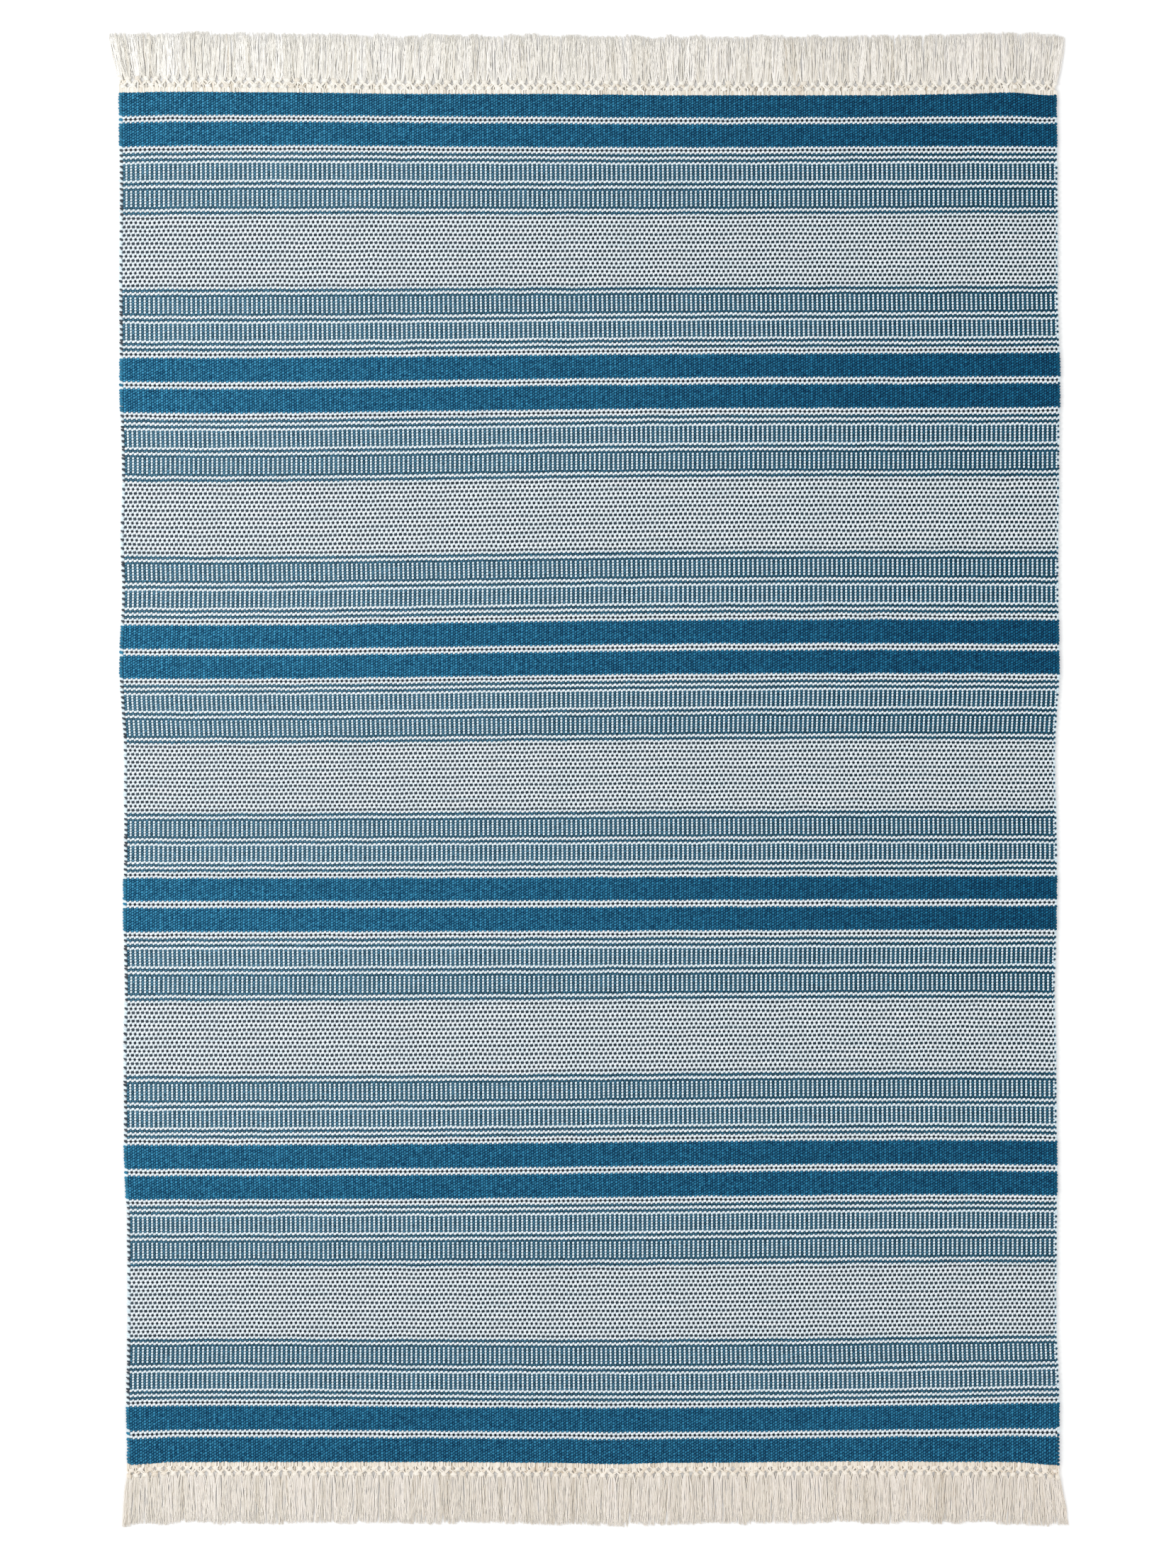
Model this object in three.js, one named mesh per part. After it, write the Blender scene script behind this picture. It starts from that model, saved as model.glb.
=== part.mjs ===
// Outdoor rug: a striped flat weave laid out flat, with a knotted fringe at each end.
// Millimetres. X runs across the rug, Y along it towards the far end, and Z is up.
// The underside is the plane z = 0, and the finished group is centred over the origin.

import * as THREE from 'three';

// The woven cloth.
const CLOTH_LENGTH = 1950;
const CLOTH_THICKNESS = 5;
const EDGE_ROUNDING = 1.5;
const END_STEPS = 25;

// Where the two side edges run, by distance along the cloth from its far end.
const SIDE_EDGES = [
  { along: 0, left: -672, right: 664 },
  { along: 160, left: -671, right: 666 },
  { along: 280, left: -672, right: 666 },
  { along: 405, left: -671, right: 669 },
  { along: 555, left: -668, right: 668 },
  { along: 645, left: -670, right: 667 },
  { along: 705, left: -668, right: 667 },
  { along: 825, left: -671, right: 668 },
  { along: 950, left: -665, right: 662 },
  { along: 1070, left: -665, right: 665 },
  { along: 1190, left: -666, right: 664 },
  { along: 1280, left: -664, right: 662 },
  { along: 1370, left: -666, right: 664 },
  { along: 1495, left: -665, right: 665 },
  { along: 1615, left: -661, right: 665 },
  { along: 1735, left: -660, right: 664 },
  { along: 1855, left: -662, right: 668 },
  { along: CLOTH_LENGTH, left: -660, right: 668 },
];

// How far each end of the cloth bows outwards from a straight line, by place across it.
const END_EDGES = [
  { across: -672, far: 0, near: 4 },
  { across: -608, far: 1, near: 0 },
  { across: -427, far: 0, near: 0 },
  { across: -245, far: -2, near: 0 },
  { across: -64, far: -2, near: 1 },
  { across: 27, far: -3, near: 3 },
  { across: 118, far: -4, near: 1 },
  { across: 421, far: -4, near: -1 },
  { across: 542, far: -2, near: 0 },
  { across: 602, far: 0, near: 0 },
  { across: 668, far: -4, near: 4 },
];

// The fringe: warp ends tied in two rows of knots, then hanging free as locks.
const PARTING = 0.3; // the slit between the cloth and the fringe's heading
const KNOTS_PER_ROW = 100;
const SECOND_ROW_OUT = 15; // distances outwards are from the end of the cloth
const NOTCH_OUT = 12; // where two locks part, beyond a knot of the first row
const WIDEST_OUT = 45; // where a lock has fanned out to its full width
const KNOT_HALF_WIDTH = 3;
const LOCK_HALF_WIDTH = 5.3;
const TIP_HALF_WIDTH = 4.8;
const END_LOCK_SHARE = 0.5; // the first and last locks hold half the warp ends
const BEND_SHARE = 0.35; // how much of a lock's lean it has at its widest place
const LENGTH_SPREAD = 3.5;
const TIP_SLANT = 1.5;
const LEAN_SPREAD = 0.7;
const FLARE_REACH = 75; // how far in from a corner the locks lean outwards

// The opening between two neighbouring knots of the first row.
const OPENING = { start: 4.5, widest: 8, end: 12, halfWidth: 2.8 };

// How thick the fringe lies, by distance out from the cloth.
const FRINGE_THICKNESS = [
  { out: 0, height: 4 },
  { out: SECOND_ROW_OUT, height: 4.6 },
  { out: WIDEST_OUT, height: 4 },
  { out: 95, height: 2.2 },
];
const THICKNESS_RIPPLE = 0.08; // share of the height, from one lock to the next
const RIPPLE_PER_MM = 0.9;

// Each end: which way it faces, its reach, and how far its corner locks lean outwards.
const FAR_END = { name: 'far_fringe', bow: 'far', way: 1, along: 0, reach: 82, flareLeft: 12, flareRight: 10 };
const NEAR_END = {
  name: 'near_fringe', bow: 'near', way: -1, along: CLOTH_LENGTH, reach: 86, flareLeft: 4, flareRight: 10,
};

const weave = new THREE.MeshStandardMaterial({ color: 0x7394a9, roughness: 0.92, metalness: 0 });
const warpYarn = new THREE.MeshStandardMaterial({ color: 0xe7e1d7, roughness: 0.95, metalness: 0 });

// A column of a table at a place between its rows, easing from one row to the next.
function readTable(rows, key, place, column) {
  if (place <= rows[0][key]) {
    return rows[0][column];
  }
  const next = rows.findIndex((row) => row[key] >= place);
  if (next < 0) {
    return rows[rows.length - 1][column];
  }
  const [before, after] = [rows[next - 1], rows[next]];
  const share = THREE.MathUtils.smoothstep(place, before[key], after[key]);
  return THREE.MathUtils.lerp(before[column], after[column], share);
}

const endOfCloth = (end, across) => CLOTH_LENGTH / 2 + readTable(END_EDGES, 'across', across, end.bow);

// Places across one end of the cloth, evenly spaced from its left corner to its right.
function placesAcross(end) {
  const left = readTable(SIDE_EDGES, 'along', end.along, 'left');
  const right = readTable(SIDE_EDGES, 'along', end.along, 'right');
  return Array.from({ length: END_STEPS + 1 }, (_, i) => THREE.MathUtils.lerp(left, right, i / END_STEPS));
}

// The flat outline of the cloth: far end, right side, near end, left side.
function makeCloth() {
  const inner = SIDE_EDGES.slice(1, -1);
  const side = (column) => inner.map((row) => new THREE.Vector2(row[column], CLOTH_LENGTH / 2 - row.along));
  const endPoints = (end) => placesAcross(end).map((x) => new THREE.Vector2(x, end.way * endOfCloth(end, x)));
  const outline = new THREE.Shape([
    ...endPoints(FAR_END),
    ...side('right'),
    ...endPoints(NEAR_END).reverse(),
    ...side('left').reverse(),
  ]);
  const geometry = new THREE.ExtrudeGeometry(outline, {
    depth: CLOTH_THICKNESS - 2 * EDGE_ROUNDING,
    bevelThickness: EDGE_ROUNDING,
    bevelSize: EDGE_ROUNDING,
    bevelOffset: -EDGE_ROUNDING,
    bevelSegments: 2,
    curveSegments: 1,
  });
  geometry.translate(0, 0, EDGE_ROUNDING);
  const cloth = new THREE.Mesh(geometry, weave);
  cloth.name = 'woven_cloth';
  return cloth;
}

// Small irregularities from -1 to 1, the same on every run.
function makeUneven(seed) {
  let state = seed;
  return () => {
    state = (state * 1103515245 + 12345) % 2147483648;
    return (state / 2147483648) * 2 - 1;
  };
}

// One lock, from the left side of its knot round its tip to the right side of the knot.
function lockOutline(root, share, lean, reach, uneven) {
  const middle = root + lean * BEND_SHARE;
  const tip = root + lean;
  const length = reach + LENGTH_SPREAD * uneven();
  const slant = TIP_SLANT * uneven();
  return [
    [root - KNOT_HALF_WIDTH * share, SECOND_ROW_OUT],
    [middle - LOCK_HALF_WIDTH * share, WIDEST_OUT],
    [tip - TIP_HALF_WIDTH * share, length - slant],
    [tip + TIP_HALF_WIDTH * share, length + slant],
    [middle + LOCK_HALF_WIDTH * share, WIDEST_OUT],
    [root + KNOT_HALF_WIDTH * share, SECOND_ROW_OUT],
  ];
}

// The fringe of one end: a heading pierced between its knots, with the locks as its fingers.
function makeFringe(end) {
  const inner = placesAcross(end);
  const left = inner[0];
  const right = inner[inner.length - 1];
  const pitch = (right - left) / KNOTS_PER_ROW;
  const uneven = makeUneven(end.reach);
  const place = ([x, out]) => new THREE.Vector2(x, end.way * (endOfCloth(end, x) + out));

  const points = [[left, NOTCH_OUT]];
  for (let lock = 0; lock <= KNOTS_PER_ROW; lock += 1) {
    const atEdge = lock === 0 || lock === KNOTS_PER_ROW;
    const inwards = lock === 0 ? pitch / 4 : -pitch / 4;
    const root = left + lock * pitch + (atEdge ? inwards : 0);
    const fromLeft = Math.max(0, 1 - (root - left) / FLARE_REACH);
    const fromRight = Math.max(0, 1 - (right - root) / FLARE_REACH);
    const flare = end.flareRight * fromRight - end.flareLeft * fromLeft;
    const lean = flare + LEAN_SPREAD * uneven();
    points.push(...lockOutline(root, atEdge ? END_LOCK_SHARE : 1, lean, end.reach, uneven));
    if (lock < KNOTS_PER_ROW) {
      points.push([left + (lock + 0.5) * pitch, NOTCH_OUT]);
    }
  }
  points.push([right, NOTCH_OUT]);
  points.push(...inner.reverse().map((x) => [x, PARTING]));

  const shape = new THREE.Shape(points.map(place));
  for (let opening = 1; opening < KNOTS_PER_ROW; opening += 1) {
    const x = left + opening * pitch;
    shape.holes.push(new THREE.Path([
      [x, OPENING.start],
      [x + OPENING.halfWidth, OPENING.widest],
      [x, OPENING.end],
      [x - OPENING.halfWidth, OPENING.widest],
    ].map(place)));
  }

  const fringe = new THREE.Mesh(new THREE.ExtrudeGeometry(shape, { depth: 1, bevelEnabled: false }), warpYarn);
  layFringe(fringe.geometry.getAttribute('position'), end);
  fringe.name = end.name;
  return fringe;
}

// Lifts the upper face to the height that the yarn lies at, thinning towards the tips.
function layFringe(position, end) {
  for (let i = 0; i < position.count; i += 1) {
    if (position.getZ(i) > 0) {
      const x = position.getX(i);
      const out = Math.abs(position.getY(i)) - endOfCloth(end, x);
      const height = readTable(FRINGE_THICKNESS, 'out', out, 'height');
      position.setZ(i, height * (1 + THICKNESS_RIPPLE * Math.sin(x * RIPPLE_PER_MM)));
    }
  }
}

const rug = new THREE.Group();
rug.add(makeCloth(), makeFringe(FAR_END), makeFringe(NEAR_END));

const centre = new THREE.Box3().setFromObject(rug).getCenter(new THREE.Vector3());
rug.position.set(-centre.x, -centre.y, 0);
rug.updateMatrixWorld(true);

export default rug;
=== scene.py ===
import math

import bpy
import numpy as np
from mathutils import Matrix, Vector


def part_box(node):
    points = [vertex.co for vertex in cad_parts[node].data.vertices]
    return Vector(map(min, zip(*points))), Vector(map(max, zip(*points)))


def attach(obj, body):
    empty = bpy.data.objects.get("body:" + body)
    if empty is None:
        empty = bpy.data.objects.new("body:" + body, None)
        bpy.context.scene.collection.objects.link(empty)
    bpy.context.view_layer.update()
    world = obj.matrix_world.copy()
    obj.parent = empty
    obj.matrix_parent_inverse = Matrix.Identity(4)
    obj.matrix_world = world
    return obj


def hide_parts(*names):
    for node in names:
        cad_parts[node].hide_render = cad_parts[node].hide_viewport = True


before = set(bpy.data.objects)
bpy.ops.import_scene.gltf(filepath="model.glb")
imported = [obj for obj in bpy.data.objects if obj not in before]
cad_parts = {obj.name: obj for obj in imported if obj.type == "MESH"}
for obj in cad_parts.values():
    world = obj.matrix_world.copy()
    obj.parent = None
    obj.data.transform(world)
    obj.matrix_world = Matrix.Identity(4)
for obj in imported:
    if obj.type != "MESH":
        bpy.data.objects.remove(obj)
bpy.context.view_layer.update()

# Outdoor rug: a weft-faced flat weave in blue and off-white, laid flat, with its warp ends
# knotted in two rows and left as a fringe at both ends. Lengths are written in millimetres
# and turned to metres by MM. X runs across the rug, Y towards its far end, Z up.
MM = 0.001


def named_rows(columns, *rows):
    """Rows of values, each under the names of the columns."""
    return [dict(zip(columns, row)) for row in rows]


# The cloth. Its middle lies where the left edge and the near corners of the CAD cloth say.
CLOTH_LENGTH = 1950
CLOTH_THICKNESS = 5
LEFT_REACH = 672
NEAR_REACH = 979
cloth_low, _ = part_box("woven_cloth")
MIDDLE = (cloth_low.x + LEFT_REACH * MM, cloth_low.y + NEAR_REACH * MM)

# Where the two side edges run, by distance along the cloth from its far end.
SIDE_EDGES = named_rows(
    ("along", "left", "right"),
    (0, -672, 664), (160, -671, 666), (280, -672, 666),
    (405, -671, 669), (555, -668, 668), (645, -670, 667),
    (705, -668, 667), (825, -671, 668), (950, -665, 662),
    (1070, -665, 665), (1190, -666, 664), (1280, -664, 662),
    (1370, -666, 664), (1495, -665, 665), (1615, -661, 665),
    (1735, -660, 664), (1855, -662, 668), (CLOTH_LENGTH, -660, 668),
)

# How far each end of the cloth bows outwards from a straight line, by place across it.
END_EDGES = named_rows(
    ("across", "far", "near"),
    (-672, 0, 4), (-608, 1, 0), (-427, 0, 0), (-245, -2, 0),
    (-64, -2, 1), (27, -3, 3), (118, -4, 1), (421, -4, -1),
    (542, -2, 0), (602, 0, 0), (668, -4, 4),
)

# The weave. Warps are counted from the left edge and picks, the weft rows, from the far end.
WARPS = 400
WIDE_SHARE = 0.57  # of a pair of warps, the share that the wider rib takes
BAND_PICKS = 39  # a blue band with its dotted white line
REPEAT_PICKS = 190  # from one blue band to the next
BANDS = 6
PICKS = (BANDS - 1) * REPEAT_PICKS + BAND_PICKS
RIB_DEPTH = 0.75
RIB_SHOULDER = 0.3  # where a rib's crown begins, as a share of its width
LIE = 0.4  # how unevenly the cloth lies
EDGE_FULLNESS = 0.6  # share of the thickness at the selvedges
SELVEDGE_BULGE = 0.4
SELVEDGE_SHARES = (0.4, -0.4)  # heights of the two points that round a selvedge
BODY_ROWS = 35
END_ROWS = ((0.0, 0.45), (0.25, 0.8), (0.8, 1.0))  # pick, and share of the full thickness
SELVEDGES = (  # the sheet stops at the inset, and the turns of the weft make the edge outside it
    {"side": "left", "way": 1, "inset": 5.6, "half_width": 3.5, "slant": -0.42, "first_pick": 1,
     "blueness": 0.0},
    {"side": "right", "way": -1, "inset": 3.2, "half_width": 3.0, "slant": 0.05, "first_pick": 0,
     "blueness": 0.5},
)

# Which picks are blue, counted outwards from the middle of a blue band to the middle of the
# light band half a repeat away. The chart runs back the same way after that.
BLUE_PICKS = named_rows(
    ("first", "last", "every"),
    (0, 0, 1), (3, 19, 1), (22, 22, 1), (25, 26, 1),
    (29, 30, 1), (33, 43, 2), (46, 47, 1), (50, 51, 1),
    (53, 61, 2), (63, 64, 1), (67, 68, 1), (71, 95, 3),
)
SOLID_BLUE = BLUE_PICKS[1]
STRIPE_REACH = 650  # scales the places before the curve is fitted
STRIPE_CURVE_DEGREE = 4

# How far along the cloth the middle of each blue band lies, at six places across it.
STRIPE_PLACES = (-649, -366, -84, 78, 360, 643)
STRIPE_LINES = (
    (38.3, 36.9, 39.5, 40.5, 39.6, 39.2),
    (417.2, 416.6, 412.9, 411.3, 410.1, 408.9),
    (797.7, 796.5, 793.6, 790.2, 789.7, 790.5),
    (1155.6, 1155.1, 1155.6, 1153.5, 1153.8, 1152.8),
    (1537.9, 1536.9, 1535.6, 1532.1, 1530.6, 1531.1),
    (1908.4, 1908.2, 1910.8, 1911.8, 1909.1, 1904.1),
)

# The fringe: distances outwards are from the end of the cloth.
KNOTS = 100
CORDS = 2 * WARPS  # each warp is two cords where it leaves the cloth
CORDS_TO_A_KNOT = CORDS // KNOTS
STRANDS_TO_A_LOCK = 28
ENDS = (
    {"name": "far", "way": 1, "along": 0, "reach": 83, "flare_left": 12, "flare_right": 10,
     "first_row": 8.4, "second_row": 16.5, "rise_left": 4.0, "seed": 3},
    {"name": "near", "way": -1, "along": CLOTH_LENGTH, "reach": 86, "flare_left": 4, "flare_right": 10,
     "first_row": 8.8, "second_row": 16.5, "rise_left": 0.0, "seed": 11},
)
END_STEPS = 50
EDGE_INSET = 3.2  # how far the last knot of the second row sits in from a corner
CORNER_RISE_FADE = 4.5  # the corner's rise is gone at one part in this many of the width
FIRST_ROW_RISE = 0.25  # share of the corner's rise that the first row takes
STRAY_LIMIT = 0.485  # strands whose random number lies past this go astray
TIED_LIMIT = 0.1  # cords whose random number lies below this are tied in the first row


# Node trees written as arithmetic

class Value:
    """A socket that takes part in Python arithmetic: each operation adds its node."""

    def __init__(self, tree, socket):
        self.tree = tree
        self.socket = socket

    def __add__(self, other):
        return self.tree.math("ADD", self, other)

    def __sub__(self, other):
        return self.tree.math("SUBTRACT", self, other)

    def __rsub__(self, other):
        return self.tree.math("SUBTRACT", other, self)

    def __mul__(self, other):
        return self.tree.math("MULTIPLY", self, other)

    def __truediv__(self, other):
        return self.tree.math("DIVIDE", self, other)

    def __pow__(self, other):
        return self.tree.math("POWER", self, other)

    def __mod__(self, other):
        return self.tree.math("FLOORED_MODULO", self, other)

    def __lt__(self, other):
        return self.tree.math("LESS_THAN", self, other)

    def __gt__(self, other):
        return self.tree.math("GREATER_THAN", self, other)

    __radd__ = __add__
    __rmul__ = __mul__


class Tree:
    """A node tree. add() makes any node, and math() the ones behind the operators."""

    def __init__(self, data):
        self.data = data

    def add(self, kind, settings=None, values=None, output=0):
        node = self.data.nodes.new(kind)
        for name, setting in (settings or {}).items():
            if name == "stops":
                self.set_stops(node.color_ramp, setting)
            else:
                setattr(node, name, setting)
        for key, value in (values or {}).items():
            if isinstance(value, Value):
                self.data.links.new(value.socket, node.inputs[key])
            else:
                node.inputs[key].default_value = value
        return Value(self, node.outputs[output]) if len(node.outputs) else node

    def set_stops(self, ramp, stops):
        """Steps of a ramp: a place from 0 to 1 and the grey that holds from there on."""
        ramp.interpolation = "CONSTANT"
        for place, grey in stops:
            step = ramp.elements.new(place)
            step.color = (grey, grey, grey, 1.0)
        ramp.elements.remove(ramp.elements[0])
        ramp.elements.remove(ramp.elements[-1])

    def math(self, operation, *values):
        vectors = [isinstance(v, Value) and v.socket.type == "VECTOR" for v in values]
        if not any(vectors):
            return self.add("ShaderNodeMath", {"operation": operation}, dict(enumerate(values)))
        if operation == "MULTIPLY" and not all(vectors):
            vector, scale = values if vectors[0] else reversed(values)
            return self.add("ShaderNodeVectorMath", {"operation": "SCALE"}, {0: vector, "Scale": scale})
        return self.add("ShaderNodeVectorMath", {"operation": operation}, dict(enumerate(values)))

    def floor(self, value):
        return self.math("FLOOR", value)

    def fract(self, value):
        return self.math("FRACT", value)

    def distance(self, value):
        return self.math("ABSOLUTE", value)

    def sine(self, value):
        return self.math("SINE", value)

    def least(self, first, second):
        return self.math("MINIMUM", first, second)

    def most(self, first, second):
        return self.math("MAXIMUM", first, second)

    def vector(self, x, y, z):
        return self.add("ShaderNodeCombineXYZ", None, {0: x, 1: y, 2: z})

    def ease(self, value, start, end):
        """From 0 at start to 1 at end, level at both."""
        values = {"Value": value, "From Min": start, "From Max": end}
        return self.add("ShaderNodeMapRange", {"interpolation_type": "SMOOTHSTEP"}, values)

    def between(self, share, first, second):
        return first + (second - first) * share

    def blend(self, share, first, second):
        """A colour between two others."""
        settings = {"data_type": "RGBA", "clamp_factor": True}
        return self.add("ShaderNodeMix", settings, {0: share, 6: first, 7: second}, 2)

    def stain(self, colour, painted_light_tint):
        """A colour seen through another."""
        settings = {"data_type": "RGBA", "blend_type": "MULTIPLY"}
        return self.add("ShaderNodeMix", settings, {0: 1.0, 6: colour, 7: painted_light_tint}, 2)

    def tint(self, colour, factor):
        """A colour made lighter or darker by a number."""
        grey = self.add("ShaderNodeCombineColor", None, {0: factor, 1: factor, 2: factor})
        return self.stain(colour, grey)

    def chance(self, number):
        """A repeatable random value from 0 to 1 for each number."""
        return self.add("ShaderNodeTexWhiteNoise", {"noise_dimensions": "1D"}, {"W": number})

    def noise(self, place, scale, detail=2.0):
        return self.add("ShaderNodeTexNoise", None, {"Vector": place, "Scale": scale, "Detail": detail})

    def attribute(self, name):
        """A number kept on the piece, in a material."""
        return self.add("ShaderNodeAttribute", {"attribute_name": name}, None, "Fac")

    def place(self):
        return self.add("ShaderNodeTexCoord", None, None, "Object")

    def parts(self, vector):
        axes = self.add("ShaderNodeSeparateXYZ", None, {0: vector}).socket.node
        return [Value(self, socket) for socket in axes.outputs]


def srgb(red, green, blue):
    """A colour read off as screen values from 0 to 255, made linear."""
    return tuple(((c / 255 + 0.055) / 1.055) ** 2.4 for c in (red, green, blue)) + (1.0,)


def new_material(name, surface, finish, bump_mm=0.0):
    """A material from surface(tree), which gives its base colour and its height from 0 to 1."""
    material = bpy.data.materials.new(name)
    material.use_nodes = True
    material.node_tree.nodes.clear()
    tree = Tree(material.node_tree)
    values = dict(finish)
    values["Base Color"], height = surface(tree)
    if bump_mm:
        bump = {"Strength": 1.0, "Distance": bump_mm * MM, "Height": height}
        values["Normal"] = tree.add("ShaderNodeBump", None, bump)
    shader = tree.add("ShaderNodeBsdfPrincipled", None, values)
    tree.add("ShaderNodeOutputMaterial", None, {"Surface": shader})
    return material


# The yarns and their finish

# Each bead runs from painted shade in its hollow to a painted highlight on its crown.
BLUE_CROWN = srgb(46, 122, 156)  # in the solid bands
BLUE_HOLLOW_SHADE = srgb(0, 48, 78)
SHADED_MIXED_CROWN = srgb(60, 110, 134)  # where blue and white picks mix: the same yarn as the solid bands, painted darker and greyer as shade among the white beads
MIXED_HOLLOW_SHADE = srgb(18, 50, 66)
SHADED_DOT_CROWN = srgb(52, 68, 78)  # a lone blue bead between white ones, on a wide rib, painted dark as shade from the white beads around it
DEEPER_SHADED_DOT_CROWN = srgb(38, 48, 56)  # and on a narrow rib, where it lies deeper, painted darker as deeper shade
DOT_HOLLOW_SHADE = srgb(18, 28, 36)
DIM_SIDE_TINT = (0.34, 0.66, 0.74, 1.0)  # painted light: the blue is tinted darkest at the far right and lighter towards the upper left, as if lit from there
LIT_SIDE_TINT = (1.8, 1.38, 1.33, 1.0)
COOL_WHITE = srgb(222, 236, 242)
WARM_WHITE = srgb(231, 234, 237)
WHITE_HOLLOW_SHADE = srgb(172, 184, 192)
COLUMN_CAST = (0.92, 1.0, 1.04, 1.0)  # of the white beads that stand in columns among the blue
WARP_YARN_WHITE = srgb(244, 242, 238)
WARP_YARN_CREAM = srgb(230, 227, 219)
WARP_YARN_TAN = srgb(212, 202, 187)
DEEP_SHADE = (0.95, 0.92, 0.88, 1.0)  # what is left of the light deep between the yarns
WARM_CAST = (1.03, 0.98, 0.935, 1.0)  # of the fringe towards the near right
YARN_FINISH = {
    "Roughness": 0.8, "Specular IOR Level": 0.07, "Sheen Weight": 0.02, "Sheen Roughness": 0.5,
}

RIBS = (
    {"centre": WIDE_SHARE / 2, "width": WIDE_SHARE, "first": 0},
    {"centre": (1 + WIDE_SHARE) / 2, "width": 1 - WIDE_SHARE, "first": 1},
)
BEAD_SLANT = 0.16
BEAD_DROP = 1.45  # how far a bead falls off towards its ends, its fall to the sides being 1
WHITE_SWELL = 0.06  # how high a white bead stands over a blue one beside it
RIB_TONES = (1.09, 0.87)  # in solid blue, the wide and the narrow ribs


def chart(tree, pick):
    """1 on the blue picks and 0 on the white ones, and how many picks out from a band's middle
    this one is."""
    half = REPEAT_PICKS // 2
    from_band = (pick + REPEAT_PICKS - BAND_PICKS // 2) % REPEAT_PICKS
    out = half - tree.distance(from_band - half)
    stops = []
    for run in BLUE_PICKS:
        if run["every"] == 1:
            stops += [(max(run["first"] - 0.5, 0) / half, 1.0), ((run["last"] + 0.5) / half, 0.0)]
    blue = tree.add("ShaderNodeValToRGB", {"stops": stops}, {0: out / half})
    for run in BLUE_PICKS:
        if run["every"] > 1:
            inside = (out > run["first"] - 0.5) * (out < run["last"] + 0.5)
            blue = inside * (((out - run["first"] + 0.25) % run["every"]) < 0.5) + blue
    return blue, out


def nearest_bead(tree, pair, pick, rib):
    """Of one kind of rib, the bead over a place: its pick, colour, height there and own number."""
    place = pair - rib["centre"] + 0.5
    column = tree.floor(place)
    across = (place - column - 0.5) * (2 / rib["width"])
    count = (pick + across * BEAD_SLANT - rib["first"] + 0.5) * 0.5
    number = tree.floor(count)
    along = (count - number) * 2 - 1
    shown = number * 2 + rib["first"]
    blue, out = chart(tree, shown)
    to_end = along * along
    height = 1 - across * across - to_end * BEAD_DROP + WHITE_SWELL * (1 - blue)
    rib_number = column * 2 + rib["first"]
    return {
        "shown": shown, "blue": blue, "out": out, "height": height, "to_end": to_end, "rib": rib_number,
    }


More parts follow.
